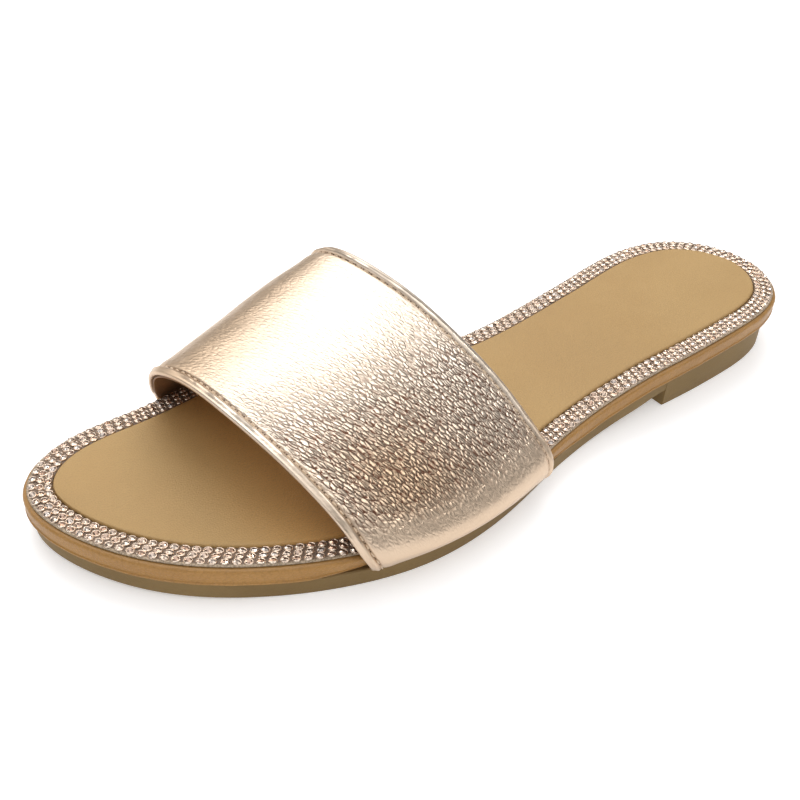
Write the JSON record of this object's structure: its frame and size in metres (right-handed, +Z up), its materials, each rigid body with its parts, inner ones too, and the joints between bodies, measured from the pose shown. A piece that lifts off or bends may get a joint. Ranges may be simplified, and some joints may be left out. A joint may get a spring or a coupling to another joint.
{
  "type": "slide sandal",
  "caption": "Flat slide sandal for the left foot with one wide metallic strap, a padded footbed, a stone trim band and a low block heel.",
  "frame": {"origin": "on the floor under the middle of the shoe's bounding box", "axes": "+Y from the toe to the heel, +X towards the little-toe side, +Z up"},
  "size_m": [0.0978, 0.2522, 0.0533],
  "materials": {
    "outsole_rubber": "matt olive tan moulded rubber",
    "footbed_leather": "satin tan synthetic leather wrap",
    "sock_leather": "matt fine grained synthetic leather",
    "trim_stones": "faceted peach stones in a greige mesh band",
    "strap_leather": "pebbled rose gold metallic synthetic leather"
  },
  "bodies": {
    "root": {"outsole": "outsole_rubber", "footbed": "footbed_leather", "sock": "sock_leather", "stone_trim": "trim_stones", "strap": "strap_leather"}
  },
  "joints": []
}
